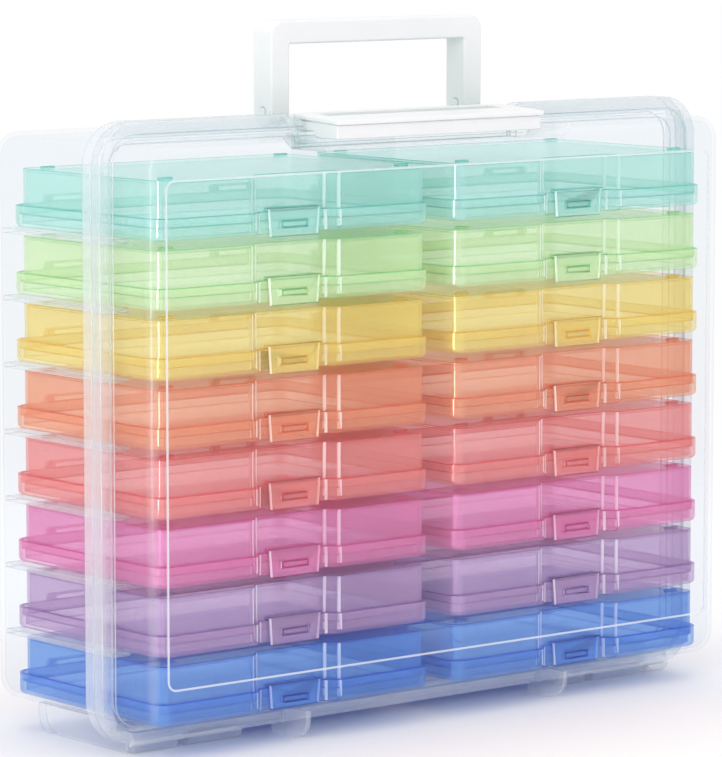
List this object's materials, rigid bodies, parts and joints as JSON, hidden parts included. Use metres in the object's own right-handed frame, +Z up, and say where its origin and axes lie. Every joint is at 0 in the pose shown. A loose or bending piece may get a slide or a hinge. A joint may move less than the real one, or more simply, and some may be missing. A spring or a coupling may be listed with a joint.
{
  "type": "photo keeper case",
  "caption": "Clear hinged carrying case on feet with a folding handle and a latch, holding two columns of lidded photo cases in rainbow colours.",
  "frame": {"origin": "on the ground, in the middle of the keeper's width and depth", "axes": "+X to the keeper's right as its front cover is seen, +Y from the cover to the back, +Z up"},
  "size_m": [0.3752, 0.1276, 0.3395],
  "materials": {
    "clear_shell": "clear, slightly milky",
    "frosted": "clear, edges look milky",
    "white": "satin white",
    "case_teal": "translucent gloss",
    "case_green": "translucent gloss",
    "case_yellow": "translucent gloss",
    "case_orange": "translucent gloss",
    "case_coral": "translucent gloss",
    "case_magenta": "translucent gloss",
    "case_purple": "translucent gloss",
    "case_blue": "translucent gloss"
  },
  "bodies": {
    "keeper": {"rear_shell": "clear_shell", "side_ledges": "frosted", "rack_spine": "frosted", "rack_ledges": "frosted", "runners": "frosted", "rear_feet": "frosted", "hinge_pins": "white"},
    "cover": {"front_cover": "clear_shell", "cover_feet": "frosted"},
    "latch": {"latch": "white", "latch_pins": "white"},
    "handle": {"handle": "white", "handle_pins": "white"},
    "case_teal_left": {"tray_teal_left": "case_teal", "lid_teal_left": "case_teal"},
    "case_teal_right": {"tray_teal_right": "case_teal", "lid_teal_right": "case_teal"},
    "case_green_left": {"tray_green_left": "case_green", "lid_green_left": "case_green"},
    "case_green_right": {"tray_green_right": "case_green", "lid_green_right": "case_green"},
    "case_yellow_left": {"tray_yellow_left": "case_yellow", "lid_yellow_left": "case_yellow"},
    "case_yellow_right": {"tray_yellow_right": "case_yellow", "lid_yellow_right": "case_yellow"},
    "case_orange_left": {"tray_orange_left": "case_orange", "lid_orange_left": "case_orange"},
    "case_orange_right": {"tray_orange_right": "case_orange", "lid_orange_right": "case_orange"},
    "case_coral_left": {"tray_coral_left": "case_coral", "lid_coral_left": "case_coral"},
    "case_coral_right": {"tray_coral_right": "case_coral", "lid_coral_right": "case_coral"},
    "case_magenta_left": {"tray_magenta_left": "case_magenta", "lid_magenta_left": "case_magenta"},
    "case_magenta_right": {"tray_magenta_right": "case_magenta", "lid_magenta_right": "case_magenta"},
    "case_purple_left": {"tray_purple_left": "case_purple", "lid_purple_left": "case_purple"},
    "case_purple_right": {"tray_purple_right": "case_purple", "lid_purple_right": "case_purple"},
    "case_blue_left": {"tray_blue_left": "case_blue", "lid_blue_left": "case_blue"},
    "case_blue_right": {"tray_blue_right": "case_blue", "lid_blue_right": "case_blue"}
  },
  "joints": [
    {"name": "cover_hinge", "type": "hinge", "parent": "keeper", "child": "cover", "pos_m": [0, -0.0286, 0.0045], "axis": [1, 0, 0], "range_deg": [0, 95]},
    {"name": "latch_hinge", "type": "hinge", "parent": "keeper", "child": "latch", "pos_m": [0, -0.0252, 0.2912], "axis": [-1, 0, 0], "range_deg": [0, 95]},
    {"name": "handle_pivot", "type": "hinge", "parent": "keeper", "child": "handle", "pos_m": [0, -0.002, 0.2958], "axis": [-1, 0, 0], "range_deg": [0, 90]},
    {"name": "slide_teal_left", "type": "slide", "parent": "keeper", "child": "case_teal_left", "axis": [0, -1, 0], "range_m": [0, 0.06]},
    {"name": "slide_teal_right", "type": "slide", "parent": "keeper", "child": "case_teal_right", "axis": [0, -1, 0], "range_m": [0, 0.06]},
    {"name": "slide_green_left", "type": "slide", "parent": "keeper", "child": "case_green_left", "axis": [0, -1, 0], "range_m": [0, 0.06]},
    {"name": "slide_green_right", "type": "slide", "parent": "keeper", "child": "case_green_right", "axis": [0, -1, 0], "range_m": [0, 0.06]},
    {"name": "slide_yellow_left", "type": "slide", "parent": "keeper", "child": "case_yellow_left", "axis": [0, -1, 0], "range_m": [0, 0.06]},
    {"name": "slide_yellow_right", "type": "slide", "parent": "keeper", "child": "case_yellow_right", "axis": [0, -1, 0], "range_m": [0, 0.06]},
    {"name": "slide_orange_left", "type": "slide", "parent": "keeper", "child": "case_orange_left", "axis": [0, -1, 0], "range_m": [0, 0.06]},
    {"name": "slide_orange_right", "type": "slide", "parent": "keeper", "child": "case_orange_right", "axis": [0, -1, 0], "range_m": [0, 0.06]},
    {"name": "slide_coral_left", "type": "slide", "parent": "keeper", "child": "case_coral_left", "axis": [0, -1, 0], "range_m": [0, 0.06]},
    {"name": "slide_coral_right", "type": "slide", "parent": "keeper", "child": "case_coral_right", "axis": [0, -1, 0], "range_m": [0, 0.06]},
    {"name": "slide_magenta_left", "type": "slide", "parent": "keeper", "child": "case_magenta_left", "axis": [0, -1, 0], "range_m": [0, 0.06]},
    {"name": "slide_magenta_right", "type": "slide", "parent": "keeper", "child": "case_magenta_right", "axis": [0, -1, 0], "range_m": [0, 0.06]},
    {"name": "slide_purple_left", "type": "slide", "parent": "keeper", "child": "case_purple_left", "axis": [0, -1, 0], "range_m": [0, 0.06]},
    {"name": "slide_purple_right", "type": "slide", "parent": "keeper", "child": "case_purple_right", "axis": [0, -1, 0], "range_m": [0, 0.06]},
    {"name": "slide_blue_left", "type": "slide", "parent": "keeper", "child": "case_blue_left", "axis": [0, -1, 0], "range_m": [0, 0.035]},
    {"name": "slide_blue_right", "type": "slide", "parent": "keeper", "child": "case_blue_right", "axis": [0, -1, 0], "range_m": [0, 0.035]}
  ],
  "couplings": [
    {"joint": "slide_teal_left", "follows": "cover_hinge", "m_per_rad": 0.036},
    {"joint": "slide_teal_right", "follows": "cover_hinge", "m_per_rad": 0.036},
    {"joint": "slide_green_left", "follows": "cover_hinge", "m_per_rad": 0.036},
    {"joint": "slide_green_right", "follows": "cover_hinge", "m_per_rad": 0.036},
    {"joint": "slide_yellow_left", "follows": "cover_hinge", "m_per_rad": 0.036},
    {"joint": "slide_yellow_right", "follows": "cover_hinge", "m_per_rad": 0.036},
    {"joint": "slide_orange_left", "follows": "cover_hinge", "m_per_rad": 0.036},
    {"joint": "slide_orange_right", "follows": "cover_hinge", "m_per_rad": 0.036},
    {"joint": "slide_coral_left", "follows": "cover_hinge", "m_per_rad": 0.036},
    {"joint": "slide_coral_right", "follows": "cover_hinge", "m_per_rad": 0.036},
    {"joint": "slide_magenta_left", "follows": "cover_hinge", "m_per_rad": 0.036},
    {"joint": "slide_magenta_right", "follows": "cover_hinge", "m_per_rad": 0.036},
    {"joint": "slide_purple_left", "follows": "cover_hinge", "m_per_rad": 0.036},
    {"joint": "slide_purple_right", "follows": "cover_hinge", "m_per_rad": 0.036},
    {"joint": "slide_blue_left", "follows": "cover_hinge", "m_per_rad": 0.021},
    {"joint": "slide_blue_right", "follows": "cover_hinge", "m_per_rad": 0.021}
  ]
}
